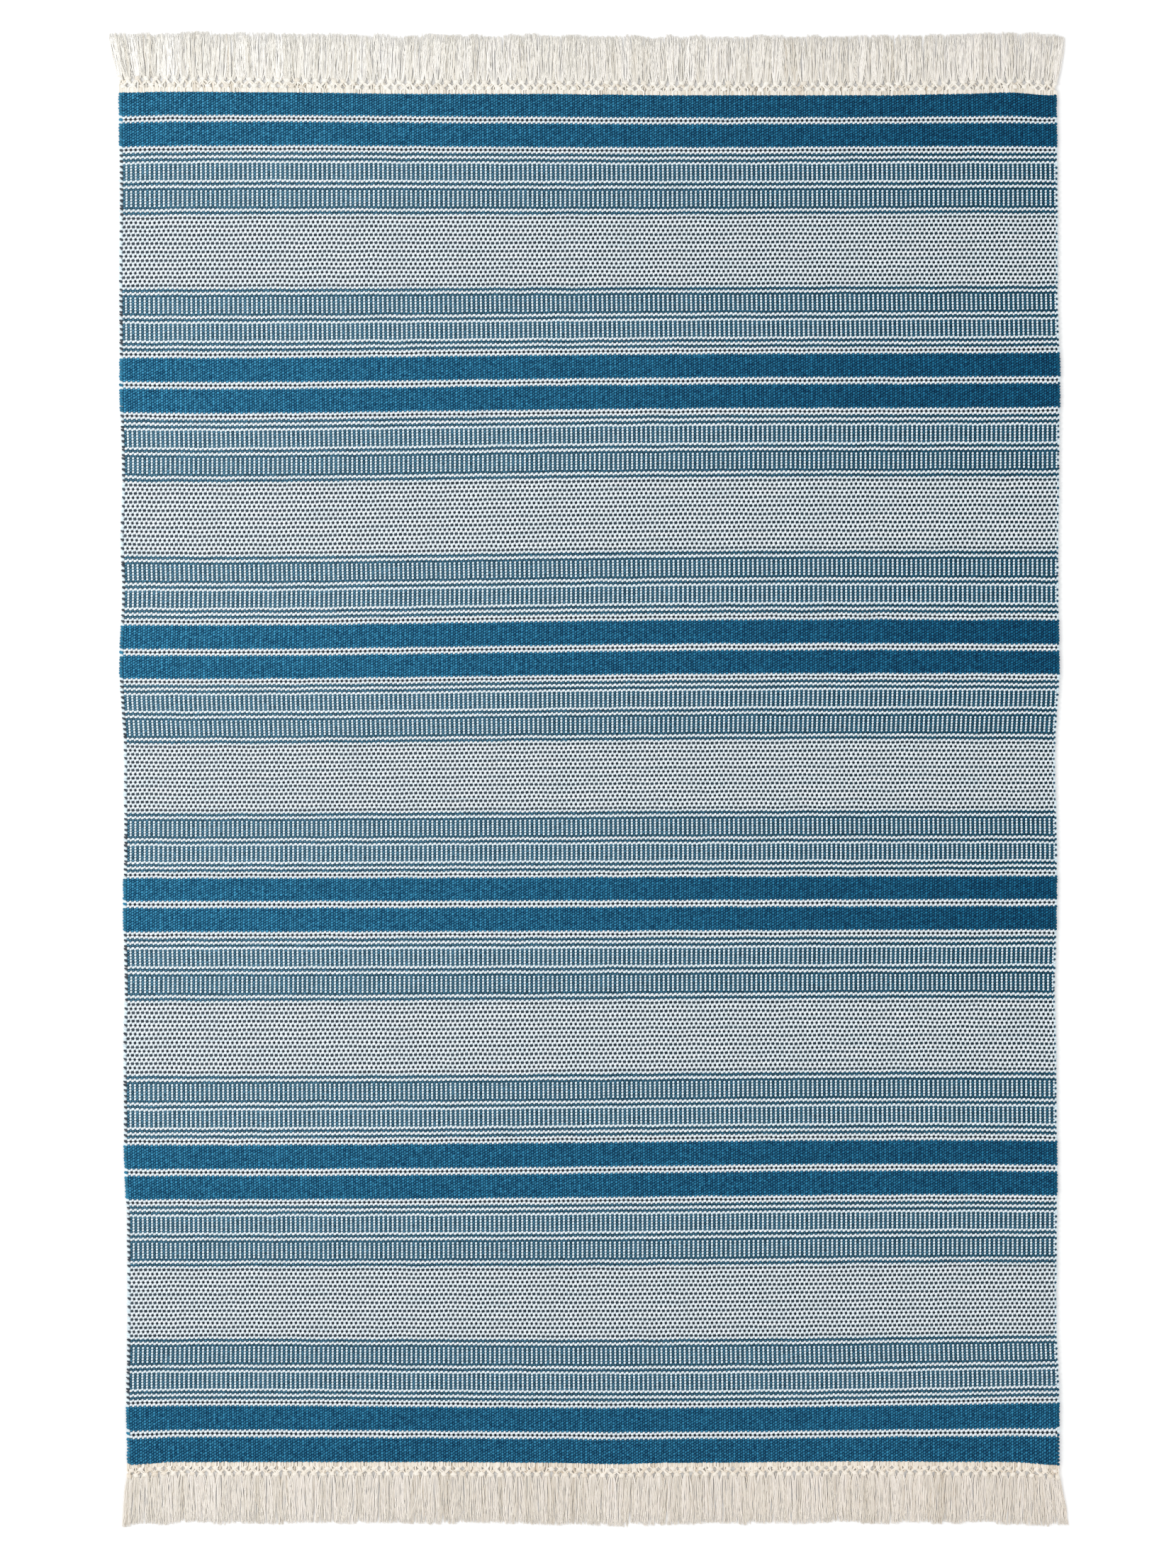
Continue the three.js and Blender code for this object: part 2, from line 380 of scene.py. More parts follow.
def weave_surface(tree):
    """Beads of weft over the warp ribs: coloured by the chart and rounded, with painted shade in their
    hollows and joins, a painted highlight on their crowns, and painted light on the blue towards the
    upper left.
    """
    place = tree.place()
    x, y, _ = tree.parts(place)
    wander = (tree.noise(place, 28.0, 1.0) - 0.5) * 1.1
    pick = tree.attribute("pick") + wander
    pair = tree.attribute("warp") * 0.5
    wide, narrow = [nearest_bead(tree, pair, pick, rib) for rib in RIBS]
    over = wide["height"] > narrow["height"]
    pick_up = lambda key: tree.between(over, narrow[key], wide[key])
    blue, out, shown, rib, to_end = [pick_up(key) for key in ("blue", "out", "shown", "rib", "to_end")]
    height = tree.most(wide["height"], narrow["height"])
    join = tree.ease(height - tree.least(wide["height"], narrow["height"]), 0.8, 0.0)
    lone = (out < 0.5) + (out > BLUE_PICKS[-1]["first"] - 1)
    lone = lone + (tree.distance(out - BLUE_PICKS[2]["first"]) < 0.5)
    columns = 0.0
    for run in BLUE_PICKS:
        if run["every"] == 2:
            columns = columns + (out > run["first"] - 1.5) * (out < run["last"] + 1.5)
    other_blue = tree.between(over, wide["blue"], narrow["blue"])
    # Painted shade of the blue yarn deep in the join, where a white bead meets a blue one beside it or
    # at its end.
    blue_join_shade = tree.most(join * (1 - lone * 0.4), tree.ease(to_end, 0.3, 1.0) * (1 - lone)) * other_blue

    # Painted light: the blue is tinted lighter towards the left, more strongly over the far half of the
    # cloth, in uneven patches.
    from_left = x * tree.between(tree.ease(y, -1.0, -0.1), -0.15, -1.0)
    painted_light_share = tree.ease(from_left + tree.noise(place, 3.0) * 0.25, -0.7, 0.85)
    painted_light_tint = tree.blend(painted_light_share, DIM_SIDE_TINT, LIT_SIDE_TINT)
    fibre = tree.noise(tree.vector(x * 900.0, y * 2600.0, 0.0), 1.0, 1.0) - 0.5
    of_pick = tree.noise(tree.vector(x * 14.0, shown * 0.73, 0.0), 1.0, 3.0) - 0.5
    of_rib = tree.noise(tree.vector(rib * 0.9, y * 11.0, 0.0), 1.0, 1.0) - 0.5
    of_bead = tree.chance(shown * 0.617 + rib * 7.31) - 0.5
    mottle = tree.noise(tree.vector(x * 200.0, y * 260.0, 0.0), 1.0, 3.0) - 0.5
    full = height + fibre * 0.6

    solid = (out > SOLID_BLUE["first"] - 0.5) * (out < SOLID_BLUE["last"] + 0.5)
    # Lone dots and the mixed blue take darker colours, painted shade from the white beads beside them.
    dot_crown_in_shade = tree.blend(over, DEEPER_SHADED_DOT_CROWN, SHADED_DOT_CROWN)
    blue_crown = tree.blend(lone, tree.blend(solid, SHADED_MIXED_CROWN, BLUE_CROWN), dot_crown_in_shade)
    blue_hollow_shade = tree.blend(lone, tree.blend(solid, MIXED_HOLLOW_SHADE, BLUE_HOLLOW_SHADE), DOT_HOLLOW_SHADE)
    unevenness = of_bead * 0.4 + of_rib * 0.3 + mottle * 2.2
    # The blue runs from painted shade in its hollows to a narrow painted highlight on its crowns,
    # unevenly from bead to bead.
    blue_shade_to_highlight = tree.add("ShaderNodeClamp", None, {0: (full + unevenness + 0.45) / 1.4}) ** 1.6
    rib_tone = tree.between(solid, 1.0, tree.between(over, RIB_TONES[1], RIB_TONES[0]))
    blue_bead = tree.tint(tree.stain(tree.blend(blue_shade_to_highlight, blue_hollow_shade, blue_crown), painted_light_tint), rib_tone)
    white_crown = tree.blend(of_pick * 2.0 + 0.5, COOL_WHITE, WARM_WHITE)
    # A white bead runs from painted shade in its hollow to the colour of its crown.
    white_bead = tree.blend(tree.ease(full, -0.6, 0.6), WHITE_HOLLOW_SHADE, white_crown)
    white_bead = tree.blend(columns, white_bead, tree.stain(white_bead, COLUMN_CAST))
    white_bead = tree.blend(blue_join_shade, white_bead, blue_hollow_shade)
    covered = lone * tree.ease(to_end, 0.62, 1.02)
    colour = tree.blend(blue - blue * covered, white_bead, blue_bead)
    colour = tree.tint(colour, 1 + of_pick * 0.3 + of_bead * 0.14)
    return colour, tree.most(height + 0.7, 0.0) ** 0.6 + fibre * 0.08


def warp_surface(tree):
    """Plied off-white yarn: each strand has its own tone, between white, cream and tan, what lies deep
    in the fringe is dimmer, and painted light makes it a little lighter towards the left and the far
    end."""
    x, y, z = tree.parts(tree.place())
    patch = tree.noise(tree.vector(x * 9.0, y * 2.0, 0.0), 1.0, 1.0)
    tone = tree.attribute("tone") * 0.75 + patch * 0.5 - 0.12
    pale = tree.blend(tree.ease(tone, 0.3, 0.95), WARP_YARN_CREAM, WARP_YARN_WHITE)
    colour = tree.blend(tree.ease(tone, 0.32, 0.0), pale, WARP_YARN_TAN)
    fibre = tree.noise(tree.vector(x * 1500.0, y * 110.0, z * 1500.0), 1.0, 2.0)
    ply = tree.sine(y * (math.tau / (2.2 * MM)) + x * (math.tau / (1.4 * MM)))
    colour = tree.blend(tree.attribute("depth"), tree.stain(colour, DEEP_SHADE), colour)
    warmth = tree.most(0.5 + x * 0.3 - y * 0.35, 0.0)
    colour = tree.blend(warmth, colour, tree.stain(colour, WARM_CAST))
    # Painted light: the fringe is a little lighter towards the left and the far end.
    painted_light_falloff = 1.0 - x * 0.025 + y * 0.015
    return tree.tint(colour, (0.92 + fibre * 0.3) * painted_light_falloff), fibre * 0.7 + ply * 0.3


def loop_surface(tree):
    """A turn of weft at the selvedge, blue or white, its blue with the same painted light as the cloth,
    lighter towards the left.
    """
    x, y, z = tree.parts(tree.place())
    fibre = tree.noise(tree.vector(x * 1200.0, y * 1800.0, z * 1200.0), 1.0, 1.0)
    tone = tree.attribute("tone")
    # Painted light: the blue turns at the left take the lighter tint, as on the cloth.
    painted_light_share = tree.ease(tree.distance(x - 1.0), 0.4, 1.6)
    solid = tree.attribute("solid")
    blue = tree.blend(solid, SHADED_DOT_CROWN, BLUE_CROWN)
    blue = tree.tint(blue, tree.between(solid, 0.7, 0.5) + tone * 0.3)
    blue = tree.stain(blue, tree.blend(painted_light_share, DIM_SIDE_TINT, LIT_SIDE_TINT))
    colour = tree.blend(tree.attribute("blue"), tree.tint(COOL_WHITE, 0.85 + tone * 0.15), blue)
    return tree.tint(colour, 0.8 + fibre * 0.4), fibre


weave = new_material("woven_yarn", weave_surface, YARN_FINISH, 0.7)
loop_yarn = new_material("turned_yarn", loop_surface, YARN_FINISH, 0.2)
warp_yarn = new_material("warp_yarn", warp_surface, YARN_FINISH, 0.2)


# The outline and the lie of the cloth

def eased(table, key, column, places):
    """A column of a table at some places, easing from one row to the next as the CAD outline does."""
    rows = np.array([row[key] for row in table], float)
    values = np.array([row[column] for row in table], float)
    places = np.clip(places, rows[0], rows[-1])
    after = np.clip(np.searchsorted(rows, places), 1, len(rows) - 1)
    share = (places - rows[after - 1]) / (rows[after] - rows[after - 1])
    share = share * share * (3 - 2 * share)
    return values[after - 1] + (values[after] - values[after - 1]) * share


def end_places(end, across):
    """The end of the cloth at some places across it, in mm outwards from the middle."""
    return CLOTH_LENGTH / 2 + eased(END_EDGES, "across", end["name"], across)


def smooth_across(values, across):
    """A stripe line at some places across the cloth, as a smooth curve through its table row."""
    polynomial = np.polynomial.polynomial
    curve = polynomial.polyfit(np.array(STRIPE_PLACES) / STRIPE_REACH, values, STRIPE_CURVE_DEGREE)
    return polynomial.polyval(across / STRIPE_REACH, curve)


def pick_places(picks, across):
    """How far along the cloth each pick lies, by row, at each place across it, by column."""
    known = [0.0]
    lines = [CLOTH_LENGTH / 2 - end_places(ENDS[0], across)]
    for band, values in enumerate(STRIPE_LINES):
        known.append(band * REPEAT_PICKS + BAND_PICKS / 2)
        lines.append(smooth_across(values, across))
    known.append(PICKS)
    lines.append(CLOTH_LENGTH / 2 + end_places(ENDS[1], across))
    lines = np.array(lines)
    return np.array([np.interp(picks, known, lines[:, column]) for column in range(len(across))]).T


def warp_places():
    """Where the cloth has points across it, in warps: a valley and two shoulders to each rib."""
    shares = (0, RIB_SHOULDER, 1 - RIB_SHOULDER)
    places = []
    for pair in range(WARPS // 2):
        for start, width in ((0, 2 * WIDE_SHARE), (2 * WIDE_SHARE, 2 - 2 * WIDE_SHARE)):
            places += [2 * pair + start + width * share for share in shares]
    return np.array(places + [WARPS], float)


def keep_number(mesh, name, values):
    values = np.asarray(values, np.float32).ravel()
    mesh.attributes.new(name, "FLOAT", "POINT").data.foreach_set("value", values)


def show(name, mesh):
    piece = bpy.data.objects.new(name, mesh)
    bpy.context.scene.collection.objects.link(piece)
    return piece


def make_sheet():
    """The plain cloth: rings of points round its thickness, one ring to each row along it."""
    warps = warp_places()
    rounding = [row[0] for row in END_ROWS]
    body = np.linspace(0, PICKS, BODY_ROWS)[1:-1]
    picks = np.array(rounding + list(body) + [PICKS - pick for pick in reversed(rounding)])
    fullness = np.ones(len(picks))
    for row, (_, share) in enumerate(END_ROWS):
        fullness[row] = share
        fullness[-1 - row] = share

    middle = (warps / WARPS - 0.5) * (LEFT_REACH * 2)
    along = pick_places(picks, middle)
    left, right = [
        eased(SIDE_EDGES, "along", edge["side"], along) + edge["way"] * edge["inset"]
        for edge in SELVEDGES
    ]
    x = left + (right - left) * (warps / WARPS)
    y = CLOTH_LENGTH / 2 - along
    half = CLOTH_THICKNESS / 2 * fullness[:, None] * np.ones_like(x)
    half[:, [0, -1]] *= EDGE_FULLNESS

    def side(column, way):
        """Two points that round the selvedge, upper first."""
        edge_x = x[:, column] + way * SELVEDGE_BULGE
        return [(edge_x, y[:, column], half[:, column] * share) for share in SELVEDGE_SHARES]

    rings = [np.stack([x, y, half], -1)]
    rings += [np.stack(point, -1)[:, None, :] for point in side(-1, 1)]
    rings += [np.stack([x, y, -half], -1)[:, ::-1, :]]
    rings += [np.stack(point, -1)[:, None, :] for point in reversed(side(0, -1))]
    points = np.concatenate(rings, 1)
    points[:, :, 2] += CLOTH_THICKNESS / 2

    columns = len(warps)
    ring = points.shape[1]
    warp_of = np.concatenate([warps, [WARPS, WARPS], warps[::-1], [0, 0]])
    face_of = np.concatenate([np.ones(columns), [0, 0], -np.ones(columns), [0, 0]])

    grid = np.arange(len(picks) * ring).reshape(len(picks), ring)
    after = np.roll(grid, -1, 1)
    walls = np.stack([grid[:-1], grid[1:], after[1:], after[:-1]], -1).reshape(-1, 4)
    first, last = grid[0], grid[-1]
    top = np.arange(columns - 1)
    under = 2 * columns + 1 - top
    cap = np.stack([top, top + 1, under - 1, under], -1)
    right_edge = [columns - 1, columns, columns + 1, columns + 2]
    left_edge = [ring - 3, ring - 2, ring - 1, 0]
    cap = np.concatenate([cap, [right_edge, left_edge]])
    faces = np.concatenate([walls, first[cap], last[cap][:, ::-1]])

    mesh = bpy.data.meshes.new("woven_cloth_mesh")
    places = points.reshape(-1, 3) * MM + np.array([MIDDLE[0], MIDDLE[1], 0])
    mesh.from_pydata(places.tolist(), [], faces.tolist())
    keep_number(mesh, "warp", np.tile(warp_of, len(picks)))
    keep_number(mesh, "pick", np.repeat(picks, ring))
    keep_number(mesh, "face", np.tile(face_of, len(picks)))
    mesh.validate()
    return show("woven_cloth_sheet", mesh)


# Shapes that repeat, made by Geometry Nodes

FLOOR_REST = 0.1 * MM  # the lowest that any yarn lies
SOCKETS = {float: "NodeSocketFloat", int: "NodeSocketInt", bpy.types.Material: "NodeSocketMaterial"}


def new_shape(name, sizes):
    """A Geometry Nodes tree with a named input for each size, and those inputs by name."""
    group = bpy.data.node_groups.new(name, "GeometryNodeTree")
    group.interface.new_socket("Geometry", in_out="INPUT", socket_type="NodeSocketGeometry")
    for key, value in sizes.items():
        group.interface.new_socket(key, in_out="INPUT", socket_type=SOCKETS[type(value)])
    group.interface.new_socket("Geometry", in_out="OUTPUT", socket_type="NodeSocketGeometry")
    tree = Tree(group)
    source = group.nodes.new("NodeGroupInput")
    return tree, {socket.name: Value(tree, socket) for socket in source.outputs if socket.name}


def finish_shape(tree, geometry, given):
    """Makes the shape one mesh, flat where it would reach below the floor, smooth and of its yarn."""
    geometry = tree.add("GeometryNodeRealizeInstances", None, {"Geometry": geometry})
    x, y, z = tree.parts(tree.add("GeometryNodeInputPosition"))
    rested = tree.vector(x, y, tree.most(z, FLOOR_REST))
    geometry = put_at(tree, geometry, rested)
    geometry = tree.add("GeometryNodeSetShadeSmooth", None, {"Geometry": geometry})
    dressed = {"Geometry": geometry, "Material": given["Yarn"]}
    tree.add("NodeGroupOutput", None, {0: tree.add("GeometryNodeSetMaterial", None, dressed)})


def put_at(tree, geometry, place):
    return tree.add("GeometryNodeSetPosition", None, {"Geometry": geometry, "Position": place})


def put_on(tree, points, shape, scale, facing):
    """A copy of the shape on each point."""
    values = {"Points": points, "Instance": shape, "Scale": scale}
    values["Rotation"] = tree.add("FunctionNodeEulerToRotation", None, {0: facing})
    return tree.add("GeometryNodeInstanceOnPoints", None, values)


def own_chances(tree, number, seed, step):
    """Random values from -0.5 to 0.5 for each number, one set to each kind."""
    return lambda kind: tree.chance(number + seed + step * kind) - 0.5


def mark(tree, name):
    """A number kept on the points, in a shape."""
    return tree.add("GeometryNodeInputNamedAttribute", None, {"Name": name})


def grow(name, source, tree, sizes):
    """Runs the tree on a source object and keeps the result as a plain mesh."""
    modifier = source.modifiers.new(name, "NODES")
    modifier.node_group = tree.data
    for item in tree.data.interface.items_tree:
        if item.in_out == "INPUT" and item.name in sizes:
            modifier[item.identifier] = sizes[item.name]
    graph = bpy.context.evaluated_depsgraph_get()
    grown = source.evaluated_get(graph)
    mesh = bpy.data.meshes.new_from_object(grown, preserve_all_data_layers=True, depsgraph=graph)
    source.modifiers.remove(modifier)
    bpy.data.objects.remove(source)
    mesh.name = name
    return show(name, mesh)


def raise_ribs(sheet):
    """Draws the weft in between the warps, so that both faces of the cloth are ribbed."""
    sizes = {"Wide share": WIDE_SHARE, "Rib depth": RIB_DEPTH * MM, "Lie": LIE * MM, "Yarn": weave}
    tree, given = new_shape("ribs", sizes)
    in_pair = tree.fract(mark(tree, "warp") * 0.5 + 0.0001)
    wide = in_pair < given["Wide share"]
    across_narrow = (in_pair - given["Wide share"]) / (1 - given["Wide share"])
    across = tree.between(wide, across_narrow, in_pair / given["Wide share"])
    valley = tree.distance(across * 2 - 1) ** 4.0
    place = tree.add("GeometryNodeInputPosition")
    lie = tree.noise(place, 9.0, 1.0) * given["Lie"]
    lift = lie - mark(tree, "face") * given["Rib depth"] * valley
    raised = {"Geometry": given["Geometry"], "Offset": tree.vector(0.0, 0.0, lift)}
    finish_shape(tree, tree.add("GeometryNodeSetPosition", None, raised), given)
    return grow("woven_cloth_dressed", sheet, tree, sizes)


def end_line(end):
    """The end of the cloth as a line of points from its left corner to its right."""
    left = eased(SIDE_EDGES, "along", "left", [end["along"]])[0]
    right = eased(SIDE_EDGES, "along", "right", [end["along"]])[0]
    across = np.linspace(left, right, END_STEPS + 1)
    out = end["way"] * end_places(end, across)
    points = [(MIDDLE[0] + x * MM, MIDDLE[1] + y * MM, 0.0) for x, y in zip(across, out)]
    return line_object(end["name"] + "_end_line", points)


def new_end_shape(end, kind, sizes):
    """A shape along one end: its tree, its inputs, all its sizes, and the end as a curve."""
    sizes = {
        **sizes, "Second row": end["second_row"] * MM, "Rise left": end["rise_left"] * MM,
        "Way": float(end["way"]), "Seed": float(end["seed"] * 1000), "Yarn": warp_yarn,
    }
    tree, given = new_shape(end["name"] + kind, sizes)
    line = tree.add("GeometryNodeMeshToCurve", None, {"Mesh": given["Geometry"]})
    return tree, given, sizes, line


def line_object(name, points):
    mesh = bpy.data.meshes.new(name)
    mesh.from_pydata(points, [(i, i + 1) for i in range(len(points) - 1)], [])
    return show(name, mesh)


def on_end(tree, line, share):
    """The place on the end of the cloth at a share of its width."""
    values = {"Curves": line, "Factor": share}
    settings = {"mode": "FACTOR", "use_all_curves": True}
    return tree.add("GeometryNodeSampleCurve", settings, values, "Position")


def cords(tree, amount, steps):
    """Straight cords to be bent: their geometry, each cord's number, and the share along it."""
    cord = tree.add("GeometryNodeCurvePrimitiveLine")
    cord = tree.add("GeometryNodeResampleCurve", None, {"Curve": cord, "Count": steps})
    values = {"Geometry": cord, "Amount": amount}
    copies = tree.add("GeometryNodeDuplicateElements", {"domain": "SPLINE"}, values)
    number = Value(tree, copies.socket.node.outputs["Duplicate Index"])
    along = tree.add("GeometryNodeSplineParameter", None, None, "Factor")
    return copies, number, along


def keep_on(tree, geometry, name, value, domain="POINT"):
    settings = {"data_type": "FLOAT", "domain": domain}
    values = {"Geometry": geometry, "Name": name, "Value": value}
    return tree.add("GeometryNodeStoreNamedAttribute", settings, values)


def circle(tree, sides, radius):
    return tree.add("GeometryNodeCurvePrimitiveCircle", None, {"Resolution": sides, "Radius": radius})


def ball(tree, segments, rings, radius):
    values = {"Segments": segments, "Rings": rings, "Radius": radius}
    return tree.add("GeometryNodeMeshUVSphere", None, values)


def tubes(tree, lines, sides, radius, thickness):
    ring = circle(tree, sides, radius)
    values = {"Curve": lines, "Profile Curve": ring, "Scale": thickness, "Fill Caps": True}
    return tree.add("GeometryNodeCurveToMesh", None, values)


def keep_depth(tree, geometry):
    """Marks how open each point lies, from 0 on the floor to 1 at the top of the heading."""
    geometry = tree.add("GeometryNodeRealizeInstances", None, {"Geometry": geometry})
    z = tree.parts(tree.add("GeometryNodeInputPosition"))[2]
    return keep_on(tree, geometry, "depth", tree.ease(z, 1.2 * MM, 4.6 * MM))


def corner_rise(tree, share, given):
    """How much further out the knots lie near the left corner, for a share of the end's width."""
    return given["Rise left"] * tree.most(1 - share * CORNER_RISE_FADE, 0.0)


def edge_inset(knot, count):
    """How far the first and the last knot of a row sit in from the corners."""
    return (knot < 0.5) * (EDGE_INSET * MM) - (knot > count - 0.5) * (EDGE_INSET * MM)


def fringe_locks(end):
    """The free warp ends: one lock of strands from each knot of the second row."""
    sizes = {
        "Locks": KNOTS + 1, "Strands": STRANDS_TO_A_LOCK, "Steps": 9, "Sides": 3,
        "Reach": end["reach"] * MM, "Strand radius": 0.76 * MM,
        "Neck": 3.4 * MM, "Fan": 5.0 * MM, "Low fan": 1.2 * MM, "Length spread": 3.0 * MM,
        "Lock lean": 2.4 * MM, "Clump lean": 3.4 * MM, "Strand lean": 4.2 * MM, "Drift": 17 * MM,
        "Wave": 1.1 * MM, "Stray": 22 * MM, "Root height": 2.6 * MM, "Tip height": 0.9 * MM,
        "Root pile": 1.4 * MM, "Tip pile": 1.6 * MM, "Flare reach": 75 * MM,
        "Flare left": end["flare_left"] * MM, "Flare right": end["flare_right"] * MM,
    }
    tree, given, sizes, line = new_end_shape(end, "_locks", sizes)
    lines, number, along = cords(tree, given["Locks"] * given["Strands"], given["Steps"])
    lock = tree.floor((number + 0.5) / given["Strands"])
    in_lock = (number - lock * given["Strands"]) / (given["Strands"] - 1)
    own = own_chances(tree, number, given["Seed"], 0.137)
    shared = own_chances(tree, lock, given["Seed"] * 1.7, 0.271)

    last = given["Locks"] - 1
    root = on_end(tree, line, lock / last)
    at_edge = 1 - (lock > 0.5) * (lock < last - 0.5)
    share = 1 - at_edge * 0.45
    left_corner = on_end(tree, line, 0.0)
    right_corner = on_end(tree, line, 1.0)
    x, y, _ = tree.parts(root)
    from_left = tree.most(1 - (x - tree.parts(left_corner)[0]) / given["Flare reach"], 0.0)
    from_right = tree.most(1 - (tree.parts(right_corner)[0] - x) / given["Flare reach"], 0.0)
    flare = from_right * given["Flare right"] - from_left * given["Flare left"]
    inset = edge_inset(lock, last)

    spread = (in_lock * 2 - 1 + own(1) * 0.5) * share
    opening = 1 - (1 - along) ** 4.6
    clump = tree.floor((number + 0.5) / 4)
    layer = tree.chance(number * 1.31 + given["Seed"])
    held = tree.ease(layer, 0.1, 0.6)
    cling = tree.chance(clump * 1.37 + given["Seed"]) - 0.5
    drift = (tree.noise(tree.vector(x * 7.0, given["Seed"], 0.0), 1.0, 1.0) - 0.5) * given["Drift"]
    lock_lean = (shared(2) * 2 * given["Lock lean"] + cling * given["Clump lean"]) * held
    lean = (lock_lean + own(3) * given["Strand lean"] + drift) * (along ** 1.25)
    wave = tree.sine(along * (3.0 + own(4) * 2.4) * math.pi + own(5) * math.tau)
    wave = wave * along ** 0.7 * given["Wave"]
    stray = (tree.distance(own(6)) > STRAY_LIMIT) * own(7) * given["Stray"] * (along ** 1.6)
    width = given["Neck"] + given["Fan"] * opening + (1 - held) * given["Low fan"]
    sideways = inset + spread * width + lean + flare * along + wave + stray

    root_out = given["Second row"] - 1.0 * MM + corner_rise(tree, lock / last, given)
    length = given["Reach"] - root_out + given["Length spread"] * (shared(8) * 1.6 + own(9) * 1.5)
    outwards = root_out + length * along
    pile = (layer - 0.35) * tree.between(along, given["Root pile"], given["Tip pile"])
    height = tree.between(along, given["Root height"], given["Tip height"]) + pile
    height = tree.most(height, given["Strand radius"] * 0.95)
    place = tree.vector(x + sideways, y + outwards * given["Way"], height)
    bent = put_at(tree, lines, place)
    tone = shared(10) * 0.4 + cling * 0.5 + own(11) * 0.55 + 0.68
    bent = keep_on(tree, bent, "tone", tone, "CURVE")
    bent = keep_on(tree, bent, "lock", lock, "CURVE")
    depth = tree.least(tree.most(layer * 1.5 + 0.15, along * along * 1.3), 1.0)
    bent = keep_on(tree, bent, "depth", depth)
    thin = (0.95 + own(12) * 0.4) * (1 - along ** 8.0 * 0.45)
    made = tubes(tree, bent, given["Sides"], given["Strand radius"], thin)
    finish_shape(tree, made, given)
    return grow(end["name"] + "_locks", end_line(end), tree, sizes)


def fringe_heading(end):
    """The warp ends from the cloth through the two rows of knots."""
    sizes = {
        "Cords": CORDS, "To a knot": CORDS_TO_A_KNOT, "Steps": 10, "Sides": 5,
        "Cord radius": 1.3 * MM, "Cord spacing": 0.52 * MM, "Slack": 7.0 * MM, "Tuck": 1.2 * MM,
        "First row": end["first_row"] * MM, "Height": 1.9 * MM, "Pile": 2.6 * MM,
        "Tied lift": 0.7 * MM,
    }
    tree, given, sizes, line = new_end_shape(end, "_heading", sizes)
    lines, number, along = cords(tree, given["Cords"], given["Steps"])
    per = given["To a knot"]
    knots = given["Cords"] / per
    own = own_chances(tree, number, given["Seed"], 0.137)

    first = tree.floor((number + 0.5) / per)
    second = tree.floor((number + 0.5 + per * 0.5) / per)
    start = on_end(tree, line, (number + 0.5) / given["Cords"])
    at_first = on_end(tree, line, (first + 0.5) / knots)
    at_second = on_end(tree, line, second / knots)
    in_first = ((number - first * per) - (per - 1) * 0.5) * given["Cord spacing"]
    in_second = ((number + per * 0.5 - second * per) - (per - 1) * 0.5) * given["Cord spacing"]
    rise = corner_rise(tree, number / given["Cords"], given)
    first_out = given["First row"] + rise * FIRST_ROW_RISE
    second_out = given["Second row"] + rise
    outwards = tree.between(along, given["Tuck"] * -1.0, second_out + 0.6 * MM)
    tied = own(6) < TIED_LIMIT  # the other cords pass under the first row of knots
    to_first = tree.ease(outwards, first_out * 0.55, first_out - 0.4 * MM) * tied
    to_second = tree.ease(outwards, first_out + 0.6 * MM, second_out - 1.2 * MM)
    x0, y0, _ = tree.parts(start)
    x1 = tree.parts(at_first)[0] + in_first
    x2 = tree.parts(at_second)[0] + in_second + edge_inset(second, knots)
    loose = to_second * (1 - to_second) * 4 + (1 - to_first) * to_first
    slack = own(5) * given["Slack"] * loose
    x = tree.between(to_second, tree.between(to_first, x0 + own(1) * 0.5 * MM, x1), x2) + slack
    leftwards = (second > first + 0.5) * 2 - 1
    lift = given["Height"] + tied * given["Tied lift"] + own(2) * given["Pile"]
    height = lift + leftwards * to_first * (1 - to_second) * 0.5 * MM
    place = tree.vector(x, y0 + outwards * given["Way"], height)
    bent = put_at(tree, lines, place)
    bent = keep_on(tree, bent, "tone", own(3) * 0.7 + 0.36, "CURVE")
    bent = keep_on(tree, bent, "lock", first, "CURVE")
    made = tubes(tree, bent, given["Sides"], given["Cord radius"], 0.95 + own(4) * 0.2)
    finish_shape(tree, keep_depth(tree, made), given)
    return grow(end["name"] + "_heading", end_line(end), tree, sizes)


